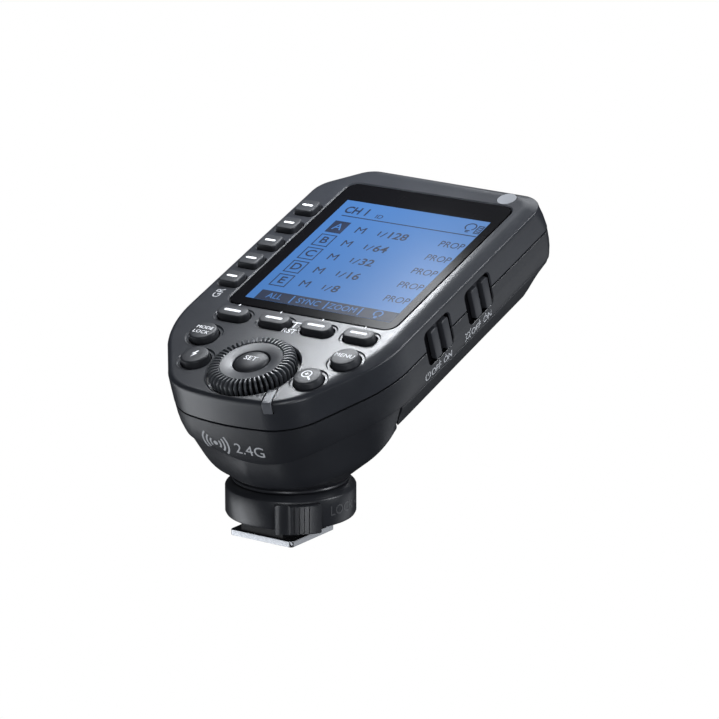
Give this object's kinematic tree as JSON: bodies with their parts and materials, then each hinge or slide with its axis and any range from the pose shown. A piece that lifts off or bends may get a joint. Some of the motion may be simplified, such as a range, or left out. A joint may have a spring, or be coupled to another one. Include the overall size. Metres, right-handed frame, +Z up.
{
  "type": "wireless flash trigger",
  "caption": "Hot-shoe wireless flash trigger: slanted control panel with display, buttons, ribbed dial, side switches and a locking shoe foot.",
  "frame": {"origin": "underside of the hot-shoe foot plate, on the lock ring's axis", "axes": "+Z up out of the camera's shoe, +Y the way the foot slides into the shoe and away from the user, +X to the user's right"},
  "size_m": [0.0655, 0.1016, 0.0747],
  "materials": {
    "case_top": "fine matte texture",
    "case_lower": "fine matte texture",
    "window": "clear, glossy",
    "lcd": "lit blue display",
    "backlight": "white diffuser",
    "board": "solder mask",
    "metal_parts": "plated",
    "gold": "gold plated",
    "keys": "smooth satin",
    "dial": "satin",
    "light_pipe": "frosted",
    "inlay": "satin",
    "switch": "satin",
    "red_window": "dark red, glossy",
    "led": "clear red",
    "black_plastic": "moulded",
    "ring": "satin",
    "cell": "plain sleeve",
    "plate": "satin plated",
    "steel": "plated"
  },
  "bodies": {
    "case": {"upper_case": "case_top", "lower_case": "case_lower", "display_window": "window", "lcd_panel": "lcd", "backlight": "backlight", "main_board": "board", "tact_switches": "metal_parts", "radio_module": "metal_parts", "antenna": "gold", "dial_encoder": "board", "status_light_pipe": "light_pipe", "corner_inlay": "inlay", "switch_bodies": "metal_parts", "af_window": "red_window", "af_led": "led", "usb_port": "metal_parts", "sync_jack": "black_plastic", "battery_1": "cell", "battery_2": "cell", "battery_springs": "metal_parts", "battery_plates": "metal_parts", "foot_neck": "black_plastic", "ring_retainer": "black_plastic", "shoe_plate": "plate", "contact_block": "black_plastic", "pin_springs": "metal_parts", "case_screws": "steel", "shoe_screws": "steel"},
    "battery_cover": {"battery_cover": "case_lower"},
    "select_dial": {"select_dial": "dial"},
    "power_switch": {"power_switch": "switch"},
    "lamp_switch": {"lamp_switch": "switch"},
    "lock_ring": {"lock_ring": "ring"},
    "locking_pin": {"locking_pin": "steel"},
    "contact_pins": {"contact_pins": "gold"},
    "group_button_1": {"group_button_1": "keys"},
    "group_button_2": {"group_button_2": "keys"},
    "group_button_3": {"group_button_3": "keys"},
    "group_button_4": {"group_button_4": "keys"},
    "group_button_5": {"group_button_5": "keys"},
    "function_button_1": {"function_button_1": "keys"},
    "function_button_2": {"function_button_2": "keys"},
    "function_button_3": {"function_button_3": "keys"},
    "function_button_4": {"function_button_4": "keys"},
    "mode_button": {"mode_button": "keys"},
    "test_button": {"test_button": "keys"},
    "menu_button": {"menu_button": "keys"},
    "zoom_button": {"zoom_button": "keys"},
    "set_button": {"set_button": "keys"}
  },
  "joints": [
    {"name": "group_button_1_press", "type": "slide", "parent": "case", "child": "group_button_1", "axis": [0, 0.3371, -0.9415], "range_m": [0, 0.0006], "stiffness_N_per_m": 900, "springref_m": -0.0003},
    {"name": "group_button_2_press", "type": "slide", "parent": "case", "child": "group_button_2", "axis": [0, 0.3371, -0.9415], "range_m": [0, 0.0006], "stiffness_N_per_m": 900, "springref_m": -0.0003},
    {"name": "group_button_3_press", "type": "slide", "parent": "case", "child": "group_button_3", "axis": [0, 0.3371, -0.9415], "range_m": [0, 0.0006], "stiffness_N_per_m": 900, "springref_m": -0.0003},
    {"name": "group_button_4_press", "type": "slide", "parent": "case", "child": "group_button_4", "axis": [0, 0.3371, -0.9415], "range_m": [0, 0.0006], "stiffness_N_per_m": 900, "springref_m": -0.0003},
    {"name": "group_button_5_press", "type": "slide", "parent": "case", "child": "group_button_5", "axis": [0, 0.3371, -0.9415], "range_m": [0, 0.0006], "stiffness_N_per_m": 900, "springref_m": -0.0003},
    {"name": "function_button_1_press", "type": "slide", "parent": "case", "child": "function_button_1", "axis": [0, 0.3371, -0.9415], "range_m": [0, 0.0006], "stiffness_N_per_m": 900, "springref_m": -0.0003},
    {"name": "function_button_2_press", "type": "slide", "parent": "case", "child": "function_button_2", "axis": [0, 0.3371, -0.9415], "range_m": [0, 0.0006], "stiffness_N_per_m": 900, "springref_m": -0.0003},
    {"name": "function_button_3_press", "type": "slide", "parent": "case", "child": "function_button_3", "axis": [0, 0.3371, -0.9415], "range_m": [0, 0.0006], "stiffness_N_per_m": 900, "springref_m": -0.0003},
    {"name": "function_button_4_press", "type": "slide", "parent": "case", "child": "function_button_4", "axis": [0, 0.3371, -0.9415], "range_m": [0, 0.0006], "stiffness_N_per_m": 900, "springref_m": -0.0003},
    {"name": "mode_button_press", "type": "slide", "parent": "case", "child": "mode_button", "axis": [0, 0.3371, -0.9415], "range_m": [0, 0.0006], "stiffness_N_per_m": 900, "springref_m": -0.0003},
    {"name": "test_button_press", "type": "slide", "parent": "case", "child": "test_button", "axis": [0, 0.3371, -0.9415], "range_m": [0, 0.0006], "stiffness_N_per_m": 900, "springref_m": -0.0003},
    {"name": "menu_button_press", "type": "slide", "parent": "case", "child": "menu_button", "axis": [0, 0.3371, -0.9415], "range_m": [0, 0.0006], "stiffness_N_per_m": 900, "springref_m": -0.0003},
    {"name": "zoom_button_press", "type": "slide", "parent": "case", "child": "zoom_button", "axis": [0, 0.3371, -0.9415], "range_m": [0, 0.0006], "stiffness_N_per_m": 900, "springref_m": -0.0003},
    {"name": "set_button_press", "type": "slide", "parent": "case", "child": "set_button", "axis": [0, 0.3371, -0.9415], "range_m": [0, 0.0006], "stiffness_N_per_m": 900, "springref_m": -0.0003},
    {"name": "select_dial_turn", "type": "hinge", "parent": "case", "child": "select_dial", "pos_m": [0, -0.01525, 0.04434], "axis": [0, -0.3371, 0.9415], "continuous": true},
    {"name": "power_switch_slide", "type": "slide", "parent": "case", "child": "power_switch", "axis": [0, -0.9415, -0.3371], "range_m": [0, 0.0024]},
    {"name": "lamp_switch_slide", "type": "slide", "parent": "case", "child": "lamp_switch", "axis": [0, -0.9415, -0.3371], "range_m": [0, 0.0024]},
    {"name": "battery_cover_slide", "type": "slide", "parent": "case", "child": "battery_cover", "axis": [0, 0.9415, 0.3371], "range_m": [0, 0.006]},
    {"name": "lock_ring_turn", "type": "hinge", "parent": "case", "child": "lock_ring", "pos_m": [0, 0, 0.0087], "axis": [0, 0, 1], "range_deg": [0, 40]},
    {"name": "locking_pin_drop", "type": "slide", "parent": "case", "child": "locking_pin", "axis": [0, 0, -1], "range_m": [0, 0.00165]},
    {"name": "contact_pins_press", "type": "slide", "parent": "case", "child": "contact_pins", "axis": [0, 0, 1], "range_m": [0, 0.0004], "stiffness_N_per_m": 600, "springref_m": -0.0003, "deforming": ["pin_springs"]}
  ],
  "couplings": [
    {"joint": "locking_pin_drop", "follows": "lock_ring_turn", "m_per_rad": 0.0022908}
  ]
}
